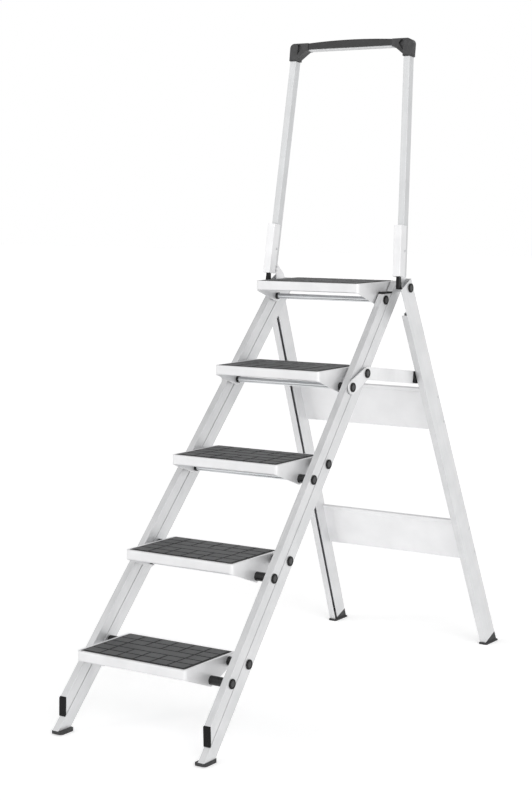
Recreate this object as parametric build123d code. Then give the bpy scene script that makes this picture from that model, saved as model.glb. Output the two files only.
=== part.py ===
import math
import os
from build123d import *

# Folding step ladder with five treads, a hand rail and a rear leg frame, in millimetres.
# Every piece is drawn with Y measured from front to back and Z from the floor.
# Each is moved by MIDDLE at the end, so that the origin is under the middle of the part.

# Treads and their pivots
TREAD_COUNT = 5
TREAD_RISE = 230.6
STILE_ANGLE = 48.12
FIRST_PIVOT_Y = 134.2
FIRST_PIVOT_Z = 180.7
PIVOT_STEP_BACK = 79.0
PIVOT_STEP_UP = 32.0
TREAD_WIDTH = 349.0
TREAD_NOSE = 111.8
TREAD_TAIL = 111.5
TREAD_TOP = 50.0
TREAD_FACE = 27.0
TREAD_TAIL_FACE = 14.0
TREAD_WALL = 3.0
TREAD_PLATE = 2.0
TREAD_CORNER = 11.0
TREAD_EDGE_ROUND = 3.0
FRONT_LOBE = 17.0
REAR_LOBE = 15.0

# Mats: a sheet with a grid of raised blocks round a plain middle block
MAT_BORDER = 7.0
MAT_RECESS = 3.0
MAT_SHEET = 3.2
MAT_BLOCK = 1.2
MAT_ROWS = 5
MAT_COLUMNS = 6
MAT_GROOVE = 4.0
MAT_MARGIN = 7.0
MAT_CLEARANCE = 0.3

# Axles, spacers and caps
AXLE_DIAMETER = 10.0
AXLE_CLEARANCE = 0.05
AXLE_MIDDLE = 16.0
AXLE_CLIP = 6.0
AXLE_CLIP_DIAMETER = 20.0
SPACER_DIAMETER = 24.5
CAP_DIAMETER = 26.5
CAP_THICKNESS = 3.0
CAP_ROUND = 1.0
CAP_RING = 19.5
CAP_RING_WIDTH = 1.6
CAP_RING_DEPTH = 0.8
FACE_CLEARANCE = 0.6

# Stiles
STILE_WIDTH = 20.0
STILE_WALL = 2.0
STILE_ROUND = 0.8
BORE_ROUND = 0.5
STILE_SPLAY = 0.0318
TOP_SPACER = 1.5
FRONT_STILE_DEPTH = 31.5
FRONT_STILE_AHEAD = 16.0
FRONT_STILE_CUT_Y = 35.5
FRONT_STILE_ABOVE = 17.6
REAR_STILE_DEPTH = 38.0
REAR_STILE_AHEAD = 20.0
PLUG_PLATE = 3.0
TOP_CAP_PLATE = 5.0
PLUG_LIP = 0.8
PLUG_LENGTH = 22.0
PLUG_CLEARANCE = 0.15

# Feet
FRONT_FOOT_HEIGHT = 10.0
FRONT_FOOT_TOE = 5.0
FRONT_FOOT_LIFT = 2.5
FRONT_FOOT_ROCKER = 12.0
FRONT_FOOT_WIDTH = 31.0
FRONT_FOOT_LIP = 3.0
FOOT_ROUND = 6.0
BACK_FOOT_SOLE = 5.0
BACK_FOOT_FLOOR = 6.0
BACK_FOOT_LIP = 4.0
FOOT_CLEARANCE = 0.2

# Rear leg frame
LEG_ANGLE = 67.5
LEG_AHEAD = 49.5
LEG_BEHIND = 16.5
LEG_WIDTH = 20.0
LEG_WALL = 2.0
LEG_GAP = 19.3
LEG_SPLAY = 0.0421
LEG_SLOT = 12.0
LEG_TOP_REAR = 22.0
LEG_TOP_FRONT = 16.0
LEG_NOTCH_LENGTH = 66.0
LEG_NOTCH_REACH = 12.0
PANEL_HEIGHT = 138.0
PANEL_SHEET = 1.6
PANEL_FLANGE = 9.0
UPPER_PANEL_DROP = 334.0
LOWER_PANEL_DROP = 792.0
PANEL_TAB = 34.0
PANEL_TAB_EDGE = 11.0
PANEL_TAB_STEP = 1.5
PANEL_RIVET_SHARES = (0.2, 0.8)
RIVET_DIAMETER = 7.0
RIVET_HEAD = 1.5
RIVET_DOME = 0.9

# Spreader links, fixed on the pivots of one tread
LINK_TREAD = 4
LINK_GAP = 2.8
LINK_THICKNESS = 4.0
LINK_JOGGLE = 7.8
LINK_JOGGLE_START = 26.0
LINK_JOGGLE_END = 46.0
LINK_BAR_HEIGHT = 37.0
LINK_NOSE = 20.0
LINK_REAR_LOBE = 18.5
LINK_END_DROP = 35.0
LINK_PIN_DIAMETER = 5.0
LINK_PIN_REACH = 20.5
SLIDER_LENGTH = 44.0
SLIDER_HEIGHT = 34.0
SLIDER_THICKNESS = 2.4

# Hand rail, on the rear axle of the top tread
RAIL_ANGLE = 82.35
RAIL_LINE_AHEAD = 35.7
RAIL_SPLAY = 0.0465
RAIL_WIDTH = 20.0
RAIL_DEPTH = 25.0
RAIL_WALL = 2.0
RAIL_START = 29.0
RAIL_END = 662.0
CHANNEL_WALL = 2.0
CHANNEL_LENGTH = 145.0
CHANNEL_AHEAD = 16.0
CHANNEL_OVERLAP = 14.0
CHANNEL_CLEARANCE = 0.1
PEG_LENGTH = 36.0
PEG_SETBACK = 7.0
PEG_TOP = 12.0
PEG_BASE = 20.0
PEG_WIDTH = 9.0
PEG_INSERT = 10.0
PEG_TONGUE = 14.0
BRACKET_GAP = 14.7
BRACKET_THICKNESS = 3.0
BRACKET_LOBE = 14.0
BRACKET_REAR_LOBE = 12.0
BRACKET_REAR_Y = 5.0
BRACKET_REAR_Z = 22.0
BRACKET_LAP = 26.0
BRACKET_ROUND = 3.0
BRACKET_RIVET_SHARES = (0.3, 0.75)
CORNER_HEIGHT = 53.0
CORNER_REACH = 40.0
CORNER_GUSSET_RUN = 30.0
CORNER_GUSSET_FOOT = 6.0
CORNER_LIP = 2.5
CORNER_ROUND = 14.0
CORNER_LAP = 2.0
GRIP_HEIGHT = 18.0
GRIP_ARCH = 5.0
GRIP_DEPTH = 27.0
GRIP_ROUND = 4.0
CORE_HEIGHT = 4.5
CORE_DEPTH = 20.0

# Derived places
HALF = TREAD_WIDTH / 2
TREAD_RUN = TREAD_RISE / math.tan(math.radians(STILE_ANGLE))
FRONT = [(FIRST_PIVOT_Y + TREAD_RUN * i, FIRST_PIVOT_Z + TREAD_RISE * i) for i in range(TREAD_COUNT)]
REAR = [(y + PIVOT_STEP_BACK, z + PIVOT_STEP_UP) for y, z in FRONT]
TOP_PIVOT = REAR[-1]
AXLE_HOLE = AXLE_DIAMETER / 2 + AXLE_CLEARANCE


def along(angle, point):
    """Distance of a side-view point along a line at an angle."""
    y, z = point
    return y * math.cos(math.radians(angle)) + z * math.sin(math.radians(angle))


def stile_outer(point):
    """Half-width of the ladder at the stile's outer face, at a side-view point."""
    top = HALF + TOP_SPACER + FACE_CLEARANCE + STILE_WIDTH
    return top + STILE_SPLAY * (along(STILE_ANGLE, TOP_PIVOT) - along(STILE_ANGLE, point))


LEG_INNER = stile_outer(TOP_PIVOT) + LEG_GAP
LEG_OUTER = LEG_INNER + LEG_WIDTH
BRACKET_X = stile_outer(TOP_PIVOT) + BRACKET_GAP
RAIL_X = BRACKET_X + BRACKET_THICKNESS + RAIL_WIDTH / 2
LINK_PLATE_X = stile_outer(FRONT[LINK_TREAD - 1]) + LINK_GAP


def member_frame(point, x, angle, splay):
    """Frame of a sloping member: X across, Y to the back, Z up along it."""
    c = math.cos(math.radians(angle))
    s = math.sin(math.radians(angle))
    return Plane(origin=(x, *point), x_dir=(1, splay * c, splay * s), z_dir=(-splay, c, s))


STILE_FRONT_FRAME = member_frame(FRONT[0], stile_outer(FRONT[0]) - STILE_WIDTH / 2, STILE_ANGLE, STILE_SPLAY)
STILE_REAR_FRAME = member_frame(REAR[0], stile_outer(REAR[0]) - STILE_WIDTH / 2, STILE_ANGLE, STILE_SPLAY)
LEG_FRAME = member_frame(TOP_PIVOT, LEG_OUTER - LEG_WIDTH / 2, 180 - LEG_ANGLE, LEG_SPLAY)
RAIL_FRAME = member_frame(TOP_PIVOT, RAIL_X, RAIL_ANGLE, RAIL_SPLAY)
LONG = 2500.0
OVERCUT = 1.0


def level_y(frame, back, height):
    """Y where a line of a member, at a distance behind its frame's axis, is at a height."""
    start = frame.from_local_coords(Vector(0, back, 0))
    return start.Y + frame.z_dir.Y * (height - start.Z) / frame.z_dir.Z


FOOT_FRONT_Y = level_y(STILE_REAR_FRAME, -REAR_STILE_AHEAD, FRONT_FOOT_HEIGHT) - FRONT_FOOT_LIP
FOOT_BACK_Y = level_y(LEG_FRAME, LEG_BEHIND + BACK_FOOT_LIP, 0)
LEG_END = (BACK_FOOT_FLOOR - LEG_FRAME.from_local_coords(Vector(0, -LEG_AHEAD, 0)).Z) / LEG_FRAME.z_dir.Z
MIDDLE = (FOOT_FRONT_Y + FOOT_BACK_Y) / 2


def box(x, y, z):
    """Box from three (low, high) pairs."""
    size = [pair[1] - pair[0] for pair in (x, y, z)]
    return Pos(*[sum(pair) / 2 for pair in (x, y, z)]) * Box(*size)


def rod(point, radius, x0, x1):
    """Cylinder along X at a side-view point."""
    return extrude(Plane.YZ.offset(x0) * Pos(*point) * Circle(radius), amount=x1 - x0, dir=(1, 0, 0))


def hull(*discs):
    """Rounded outline round some discs, each given as y, z and radius."""
    edges = ShapeList()
    for y, z, radius in discs:
        edges.extend((Pos(y, z) * Circle(radius)).edges())
    return make_hull(edges)


def plate(outline, x0, x1):
    """Side-view outline with a thickness from x0 to x1."""
    return extrude(Plane.YZ.offset(x0) * outline, amount=x1 - x0, dir=(1, 0, 0))


def mirrored(solid):
    return mirror(solid, about=Plane.YZ)


def both(solids):
    """Solids of the right-hand side, with their copies on the left-hand side."""
    return list(solids) + [mirrored(solid) for solid in solids]


def write(name, solids):
    """Writes a node made of one or more separate solids."""
    moved = [Pos(0, -MIDDLE, 0) * solid for solid in solids]
    shape = moved[0] if len(moved) == 1 else Compound(children=moved)
    export_step(shape, os.path.join("parts", name + ".step"))


def write_pair(name, solid):
    write(name + "_right", [solid])
    write(name + "_left", [mirrored(solid)])


def section(width, ahead, depth, radius, z0, z1):
    """Rounded bar in a member's frame, from a front face that lies ahead of its axis."""
    outline = Pos(0, depth / 2 - ahead, z0) * RectangleRounded(width, depth, radius)
    return extrude(outline, amount=z1 - z0, dir=(0, 0, 1))


def tube(width, ahead, depth, wall, radius, z0, z1):
    """Hollow bar in a member's frame."""
    bore = section(width - 2 * wall, ahead - wall, depth - 2 * wall, BORE_ROUND, z0 - OVERCUT, z1 + OVERCUT)
    return section(width, ahead, depth, radius, z0, z1) - bore


def bored(solid, points, radius):
    """A solid with cross holes through it."""
    for point in points:
        solid -= rod(point, radius, -LONG, LONG)
    return solid


# Treads
def tread_tray(front, rear):
    """Pressed tray: top with a sunk bed for the mat, a skirt all round and lobes for the axles."""
    y, z = front
    r = TREAD_EDGE_ROUND
    top = z + TREAD_TOP
    outline = hull(
        (y - TREAD_NOSE + r, top - r, r),
        (y - TREAD_NOSE + r, top - TREAD_FACE + r, r),
        (y, z, FRONT_LOBE),
        (rear[0], rear[1], REAR_LOBE),
        (y + TREAD_TAIL - r, top - TREAD_TAIL_FACE + r, r),
        (y + TREAD_TAIL - r, top - r, r),
    )
    depth = TREAD_NOSE + TREAD_TAIL
    middle = (0, y + depth / 2 - TREAD_NOSE)
    below = z - 2 * FRONT_LOBE

    def plan(inset, z0, z1):
        corner = TREAD_CORNER - inset
        sheet = Pos(*middle, z0) * RectangleRounded(TREAD_WIDTH - 2 * inset, depth - 2 * inset, corner)
        return extrude(sheet, amount=z1 - z0, dir=(0, 0, 1))

    tray = plate(outline, -HALF, HALF) & plan(0, below, top)
    tray -= plan(TREAD_WALL, below, top - MAT_RECESS - TREAD_PLATE)
    tray -= plan(MAT_BORDER, top - MAT_RECESS, top + OVERCUT)
    return bored(tray, (front, rear), AXLE_HOLE)


def tread_mat(front):
    """Ribbed mat in the tray's bed: raised blocks in rows, with one plain block in the middle."""
    y, z = front
    bed = z + TREAD_TOP - MAT_RECESS
    width = TREAD_WIDTH - 2 * (MAT_BORDER + MAT_CLEARANCE)
    depth = TREAD_NOSE + TREAD_TAIL - 2 * (MAT_BORDER + MAT_CLEARANCE)
    middle = Pos(0, y + (TREAD_TAIL - TREAD_NOSE) / 2, bed)
    mat = extrude(RectangleRounded(width, depth, TREAD_CORNER - MAT_BORDER - MAT_CLEARANCE), amount=MAT_SHEET)
    pitch_x = (width - 2 * MAT_MARGIN + MAT_GROOVE) / MAT_COLUMNS
    pitch_y = (depth - 2 * MAT_MARGIN + MAT_GROOVE) / MAT_ROWS
    top = MAT_SHEET + MAT_BLOCK / 2
    plain_columns = MAT_COLUMNS - 2
    for row in range(MAT_ROWS):
        for column in range(MAT_COLUMNS):
            centre_row = row - (MAT_ROWS - 1) / 2
            centre_column = column - (MAT_COLUMNS - 1) / 2
            if abs(centre_row) < 0.5 and abs(centre_column) < plain_columns / 2:
                continue
            place = Pos(centre_column * pitch_x, centre_row * pitch_y, top)
            mat += place * Box(pitch_x - MAT_GROOVE, pitch_y - MAT_GROOVE, MAT_BLOCK)
    plain = Box(plain_columns * pitch_x - MAT_GROOVE, pitch_y - MAT_GROOVE, MAT_BLOCK)
    return middle * (mat + Pos(0, 0, top) * plain)


def axle_reach(index, row):
    """Half-length of an axle, to the inner face of its end caps."""
    if row is REAR and index == TREAD_COUNT - 1:
        return LEG_OUTER + FACE_CLEARANCE
    if index == LINK_TREAD - 1:
        return LINK_PLATE_X + LINK_THICKNESS
    return stile_outer(row[index]) + FACE_CLEARANCE


def sleeve(point, diameter, x0, x1):
    """Ring on an axle."""
    return rod(point, diameter / 2, x0, x1) - rod(point, AXLE_HOLE, x0 - OVERCUT, x1 + OVERCUT)


def end_cap(point, x):
    """Round cap with a ring sunk in its face."""
    face = x + CAP_THICKNESS
    cap = rod(point, CAP_DIAMETER / 2, x, face)
    cap = fillet(cap.edges().group_by(Axis.X)[-1], CAP_ROUND)
    ring = rod(point, CAP_RING / 2, face - CAP_RING_DEPTH, face + OVERCUT)
    return cap - (ring - rod(point, CAP_RING / 2 - CAP_RING_WIDTH, x, face + 2 * OVERCUT))


def write_tread(index):
    number = index + 1
    name = f"tread_{number}"
    front, rear = FRONT[index], REAR[index]
    axles, spacers, caps = [], [], []
    for row in (FRONT, REAR):
        point = row[index]
        reach = axle_reach(index, row)
        inner = stile_outer(point) - STILE_WIDTH
        clip = HALF - TREAD_WALL - AXLE_CLIP
        axles.append(rod(point, AXLE_DIAMETER / 2, -reach, reach) + rod(point, AXLE_MIDDLE / 2, -clip, clip))
        spacers.append(sleeve(point, AXLE_CLIP_DIAMETER, clip, clip + AXLE_CLIP))
        spacers.append(sleeve(point, SPACER_DIAMETER, HALF, inner - FACE_CLEARANCE))
        caps.append(end_cap(point, reach))
        if number == LINK_TREAD:
            spacers.append(sleeve(point, SPACER_DIAMETER, stile_outer(point) + FACE_CLEARANCE, LINK_PLATE_X))
    if number == TREAD_COUNT:
        tilt = RAIL_SPLAY * SPACER_DIAMETER / 2
        inside = stile_outer(rear) + FACE_CLEARANCE
        outside = BRACKET_X - tilt - FACE_CLEARANCE / 2
        write("top_axle_sleeves", both([sleeve(rear, SPACER_DIAMETER, inside, outside)]))
    write(name + "_tray", [tread_tray(front, rear)])
    write(name + "_mat", [tread_mat(front)])
    write(name + "_axles", axles)
    write(name + "_spacers", both(spacers))
    write(name + "_caps", both(caps))


# Stiles and their ends
def rear_stile():
    """Tube from the front foot up to a rounded lug on the top axle."""
    top = along(STILE_ANGLE, TOP_PIVOT) - along(STILE_ANGLE, REAR[0])
    stile = tube(STILE_WIDTH, REAR_STILE_AHEAD, REAR_STILE_DEPTH, STILE_WALL, STILE_ROUND, -LONG / 4, top)
    lug = Pos(0, REAR_STILE_DEPTH / 2 - REAR_STILE_AHEAD, top) * Rot(0, 90, 0)
    stile += lug * Cylinder(REAR_STILE_DEPTH / 2, STILE_WIDTH)
    stile = STILE_REAR_FRAME * stile
    stile -= box((-LONG, LONG), (-LONG, LONG), (-LONG, FRONT_FOOT_HEIGHT))
    return bored(stile, REAR, AXLE_HOLE)


def stile_bore(ahead, depth, z0, z1):
    """What fits inside a stile's tube, with a little room."""
    inset = STILE_WALL + PLUG_CLEARANCE
    return section(STILE_WIDTH - 2 * inset, ahead - inset, depth - 2 * inset, BORE_ROUND, z0, z1)


def front_foot():
    """Pad under the rear stile, with a lifted toe and a stub that fills the tube's end."""
    reach = REAR_STILE_DEPTH / math.sin(math.radians(STILE_ANGLE)) + 2 * FRONT_FOOT_LIP
    outer = stile_outer((FOOT_FRONT_Y, 0)) + FRONT_FOOT_LIP / 2
    y = (FOOT_FRONT_Y, FOOT_FRONT_Y + reach)
    side = Polyline(
        (y[0], FRONT_FOOT_LIFT), (y[0] + FRONT_FOOT_ROCKER, 0), (y[1], 0), (y[1], FRONT_FOOT_HEIGHT),
        (y[0] + FRONT_FOOT_LIP, FRONT_FOOT_HEIGHT), (y[0], FRONT_FOOT_TOE), close=True)
    pad = box((outer - FRONT_FOOT_WIDTH, outer), y, (0, FRONT_FOOT_HEIGHT))
    pad = fillet(pad.edges().filter_by(Axis.Z), FOOT_ROUND) & plate(make_face(side), 0, LONG)
    stub = STILE_REAR_FRAME * stile_bore(REAR_STILE_AHEAD, REAR_STILE_DEPTH, -LONG / 4, LONG / 4)
    stub &= box((0, LONG), (-LONG, LONG), (FRONT_FOOT_HEIGHT / 2, FRONT_FOOT_HEIGHT + PLUG_LENGTH))
    return pad + stub


def front_stile():
    """Tube with a vertical cut at the bottom and a level cut at the top."""
    stile = tube(STILE_WIDTH, FRONT_STILE_AHEAD, FRONT_STILE_DEPTH, STILE_WALL, STILE_ROUND, -LONG / 4, LONG)
    stile = STILE_FRONT_FRAME * stile
    stile &= box((0, LONG), (FRONT_STILE_CUT_Y, LONG), (0, FRONT[-1][1] + FRONT_STILE_ABOVE))
    return bored(stile, FRONT, AXLE_HOLE)


def front_stile_ends():
    """Bottom plug and top cap of a front stile, each with a stub inside the tube."""
    top = FRONT[-1][1] + FRONT_STILE_ABOVE
    core = STILE_FRONT_FRAME * stile_bore(FRONT_STILE_AHEAD, FRONT_STILE_DEPTH, -LONG / 4, LONG)
    lip = 2 * PLUG_LIP
    skin = STILE_FRONT_FRAME * section(STILE_WIDTH + lip, FRONT_STILE_AHEAD + PLUG_LIP,
                                       FRONT_STILE_DEPTH + lip, STILE_ROUND, -LONG / 4, LONG)
    wide = (0, LONG)
    plug = skin & box(wide, (FRONT_STILE_CUT_Y - PLUG_PLATE, FRONT_STILE_CUT_Y), (0, LONG))
    plug += core & box(wide, (FRONT_STILE_CUT_Y - PLUG_PLATE / 2, FRONT_STILE_CUT_Y + PLUG_LENGTH), (0, LONG))
    cap = skin & box(wide, (-LONG, LONG), (top, top + TOP_CAP_PLATE))
    inside = top - (FRONT_STILE_ABOVE - AXLE_DIAMETER)
    cap += core & box(wide, (-LONG, LONG), (inside, top + PLUG_PLATE / 2))
    return plug, cap


# Rear leg frame
def back_leg():
    """Channel with a long slot behind its front wall, for the pins of the spreader links."""
    depth = LEG_AHEAD + LEG_BEHIND
    leg = tube(LEG_WIDTH, LEG_AHEAD, depth, LEG_WALL, STILE_ROUND, LEG_END, LEG_TOP_REAR)
    inside = (-LEG_WIDTH, -LEG_WIDTH / 2 + LEG_WALL + BORE_ROUND)
    slot_front = -LEG_AHEAD + LEG_WALL
    leg -= box(inside, (slot_front, slot_front + LEG_SLOT), (-LONG, LONG))
    notch = (-LEG_NOTCH_LENGTH, LONG)
    leg -= box(inside, (-LONG, -LEG_NOTCH_REACH), notch)
    leg -= box((-LEG_WIDTH, LEG_WIDTH / 2 - LEG_WALL), (-LONG, slot_front + BORE_ROUND), notch)
    slant = Polyline(
        (-LEG_AHEAD - OVERCUT, LEG_TOP_FRONT), (LEG_BEHIND + OVERCUT, LEG_TOP_REAR),
        (LEG_BEHIND + OVERCUT, LONG), (-LEG_AHEAD - OVERCUT, LONG), close=True)
    leg -= plate(make_face(slant), -LEG_WIDTH, LEG_WIDTH)
    return bored(LEG_FRAME * leg, [TOP_PIVOT], AXLE_HOLE)


def back_foot():
    """Wedge under the leg's square-cut end, with a thin sole and a stub that fills the leg's end."""
    depth = LEG_AHEAD + LEG_BEHIND
    lip = BACK_FOOT_LIP
    ground = box((0, LONG), (-LONG, LONG), (0, LONG))
    wedge = section(LEG_WIDTH, LEG_AHEAD, depth, STILE_ROUND, -LONG, LEG_END)
    sole = section(LEG_WIDTH + 2 * lip, LEG_AHEAD + lip, depth + 2 * lip, STILE_ROUND + lip, -LONG, 0)
    sole = LEG_FRAME * sole & box((0, LONG), (-LONG, LONG), (0, BACK_FOOT_SOLE))
    inset = LEG_WALL + PLUG_CLEARANCE
    stub = section(LEG_WIDTH - 2 * inset, LEG_AHEAD - inset, depth - 2 * inset, BORE_ROUND, LEG_END - OVERCUT,
                   LEG_END + PLUG_LENGTH)
    return (LEG_FRAME * (wedge + stub) & ground) + sole


def leg_inner(drop):
    """Half-width between the legs' inner faces, at a distance below the top pivot."""
    return LEG_INNER + LEG_SPLAY * drop


def back_panel(drop):
    """Sheet between the legs: folded edges, and joggled tabs at both ends against the legs."""
    frame = Plane(origin=(0, *TOP_PIVOT), x_dir=(1, 0, 0), z_dir=(0, *unit(180 - LEG_ANGLE)))
    low, high = -drop - PANEL_HEIGHT, -drop
    rear = LEG_BEHIND - LEG_WALL
    end = leg_inner(drop) - FOOT_CLEARANCE

    def sheet(y0, y1, z0, z1, inset):
        """Trapezium that follows the legs' splay, set in from their faces."""
        widths = [end + LEG_SPLAY * (high - z) - inset for z in (z0, z1)]
        corners = [(-widths[0], z0), (widths[0], z0), (widths[1], z1), (-widths[1], z1)]
        return extrude(Plane.XZ.offset(-y1) * make_face(Polyline(*corners, close=True)), amount=y1 - y0)

    step = PANEL_TAB_STEP
    edge = PANEL_TAB_EDGE
    face = rear - PANEL_FLANGE
    back = face + PANEL_SHEET
    panel = sheet(face, rear, low, high, 0)
    panel -= sheet(back, rear + OVERCUT, low + PANEL_SHEET, high - PANEL_SHEET, PANEL_SHEET)
    raised = sheet(face - step, back, low + edge, high - edge, PANEL_TAB)
    hollow = sheet(face, back + OVERCUT, low + edge + step, high - edge - step, PANEL_TAB + step)
    return frame * (panel + raised - hollow)


def unit(angle):
    return math.cos(math.radians(angle)), math.sin(math.radians(angle))


def rivet(frame, x, back, up, inward):
    """Domed rivet head on a member's side face."""
    height = RIVET_HEAD
    head = Pos(x + inward * height / 2, back, up) * Rot(0, 90, 0) * Cylinder(RIVET_DIAMETER / 2, height)
    outer_edge = head.edges().group_by(Axis.X)[-1 if inward > 0 else 0]
    return frame * fillet(outer_edge, RIVET_DOME)


def panel_rivets():
    """Rivets on the legs' outer faces, two at each end of each panel."""
    heads = []
    back = LEG_BEHIND - LEG_WALL - PANEL_FLANGE / 2
    for drop in (UPPER_PANEL_DROP, LOWER_PANEL_DROP):
        for share in PANEL_RIVET_SHARES:
            heads.append(rivet(LEG_FRAME, LEG_WIDTH / 2, back, -drop - share * PANEL_HEIGHT, 1))
    return heads


# Spreader links
LINK_FRONT = FRONT[LINK_TREAD - 1]
LINK_REAR = REAR[LINK_TREAD - 1]


def link_end():
    """Side-view place of the link's pin, on the middle line of the leg's slot."""
    back = -LEG_AHEAD + LEG_WALL + LEG_SLOT / 2
    c, s = unit(180 - LEG_ANGLE)
    z = LINK_REAR[1] - LINK_END_DROP
    up = (z - TOP_PIVOT[1] + back * c) / s
    return TOP_PIVOT[0] + back * s + up * c, z


LINK_END = link_end()
LINK_BAR_X = LINK_PLATE_X + LINK_JOGGLE
LINK_LENGTH = math.dist(LINK_REAR, LINK_END)
LINK_SLOPE = math.degrees(math.atan2(LINK_END[1] - LINK_REAR[1], LINK_END[0] - LINK_REAR[0]))


def spreader_link():
    """Plate on both axles of its tread, joggled outwards into a bar that reaches the rear leg."""
    x0, x1 = LINK_PLATE_X, LINK_PLATE_X + LINK_THICKNESS
    head = plate(hull((*LINK_FRONT, LINK_NOSE), (*LINK_REAR, LINK_REAR_LOBE)), x0, x1)
    a, b = LINK_JOGGLE_START, LINK_JOGGLE_END
    out = LINK_JOGGLE
    strip = Polyline(
        (x0, 0), (x1, 0), (x1, a), (x1 + out, b), (x1 + out, LINK_LENGTH), (x0 + out, LINK_LENGTH),
        (x0 + out, b), (x0, a), close=True)
    bar = extrude(make_face(strip), amount=LINK_BAR_HEIGHT / 2, both=True)
    bar = Pos(0, *LINK_REAR) * Rot(LINK_SLOPE, 0, 0) * bar
    tip = rod(LINK_END, LINK_BAR_HEIGHT / 2, x0 + out, x1 + out)
    return bored(head + bar + tip, (LINK_FRONT, LINK_REAR), AXLE_HOLE)


def link_pin():
    x = LINK_BAR_X + LINK_THICKNESS
    return rod(LINK_END, LINK_PIN_DIAMETER / 2, x, x + LINK_PIN_REACH)


def slider_pad():
    """Plastic rubbing pad on the pin, between the link's bar and the leg."""
    x = LINK_BAR_X + LINK_THICKNESS
    pad = extrude(Plane.YZ * RectangleRounded(SLIDER_LENGTH, SLIDER_HEIGHT, TREAD_EDGE_ROUND),
                  amount=SLIDER_THICKNESS)
    pad = Pos(x, *LINK_END) * Rot(LINK_SLOPE, 0, 0) * pad
    return bored(pad, [LINK_END], LINK_PIN_DIAMETER / 2)


# Hand rail
RAIL_MIDDLE = -RAIL_LINE_AHEAD
TUBE_AHEAD = RAIL_LINE_AHEAD + RAIL_DEPTH / 2


def rail_tube():
    return RAIL_FRAME * tube(RAIL_WIDTH, TUBE_AHEAD, RAIL_DEPTH, RAIL_WALL, STILE_ROUND, RAIL_START, RAIL_END)


def rail_channel():
    """U-shaped shoe round the front of the tube's lower end."""
    gap = CHANNEL_CLEARANCE
    width = RAIL_WIDTH + 2 * gap
    depth = CHANNEL_AHEAD + CHANNEL_OVERLAP
    wall = CHANNEL_WALL
    ahead = TUBE_AHEAD + CHANNEL_AHEAD
    low, high = RAIL_START - wall, RAIL_START + CHANNEL_LENGTH
    shoe = section(width + 2 * wall, ahead + wall, depth + wall, wall, low, high)
    shoe -= box((-width / 2, width / 2), (-ahead, LONG), (low - OVERCUT, high + OVERCUT))
    return RAIL_FRAME * shoe


def channel_peg():
    """Tapered plug that closes the channel's lower end and points down."""
    ahead = TUBE_AHEAD + CHANNEL_AHEAD - CHANNEL_CLEARANCE
    top = RAIL_START - CHANNEL_WALL
    end = top - PEG_LENGTH
    front = -ahead + PEG_SETBACK
    outline = Polyline(
        (-ahead, top), (-ahead, top + PEG_INSERT), (-ahead + PEG_TONGUE, top + PEG_INSERT),
        (-ahead + PEG_TONGUE, top), (front + PEG_TOP, top), (front + PEG_BASE, end), (front, end),
        (front, top), close=True)
    return RAIL_FRAME * plate(make_face(outline), -PEG_WIDTH / 2, PEG_WIDTH / 2)


def hinge_bracket():
    """Plate from the tube's inner face down to the top axle, with a lobe behind it."""
    face = -RAIL_WIDTH / 2 - BRACKET_THICKNESS
    r = BRACKET_ROUND
    low, high = RAIL_START + r, RAIL_START + BRACKET_LAP - r
    front = -TUBE_AHEAD + CHANNEL_OVERLAP + CHANNEL_CLEARANCE + 2 * r
    rear = -TUBE_AHEAD + RAIL_DEPTH - r
    outline = hull(
        (0, 0, BRACKET_LOBE), (BRACKET_REAR_Y, BRACKET_REAR_Z, BRACKET_REAR_LOBE), (front, low, r),
        (front, high, r), (rear, high, r))
    bracket = RAIL_FRAME * plate(outline, face, face + BRACKET_THICKNESS)
    return bored(bracket, [TOP_PIVOT], AXLE_HOLE)


def rail_rivets():
    """Rivets through the tube: two in the bracket's plate and one in the channel's side."""
    heads = []
    for share in BRACKET_RIVET_SHARES:
        x = -RAIL_WIDTH / 2 - BRACKET_THICKNESS
        back = RAIL_MIDDLE + RAIL_DEPTH / 2 - RIVET_DIAMETER / 2 - BRACKET_ROUND
        heads.append(rivet(RAIL_FRAME, x, back, RAIL_START + share * BRACKET_LAP, -1))
    side = RAIL_WIDTH / 2 + CHANNEL_CLEARANCE + CHANNEL_WALL
    back = RAIL_MIDDLE - RAIL_DEPTH / 2 + CHANNEL_OVERLAP / 2
    for x, inward in ((side, 1), (-side, -1)):
        heads.append(rivet(RAIL_FRAME, x, back, RAIL_START + CHANNEL_LENGTH / 2, inward))
    return heads


# The top of the hand rail is drawn in a frame that leans back with it
RAIL_PLANE = Plane(origin=(0, *TOP_PIVOT), x_dir=(1, 0, 0), z_dir=(0, *unit(RAIL_ANGLE)))
RAIL_TOP_X = RAIL_X - RAIL_SPLAY * RAIL_END
CORNER_TOP = RAIL_END - CORNER_LAP + CORNER_HEIGHT
CORNER_END = RAIL_TOP_X - RAIL_WIDTH / 2 - CORNER_REACH
GRIP_LOW = CORNER_TOP - GRIP_HEIGHT


def front_plate(outline, depth):
    """Front-view outline with a depth, centred on the hand rail's tubes."""
    return Pos(0, RAIL_MIDDLE, 0) * extrude(Plane.XZ * outline, amount=depth / 2, both=True)


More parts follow.
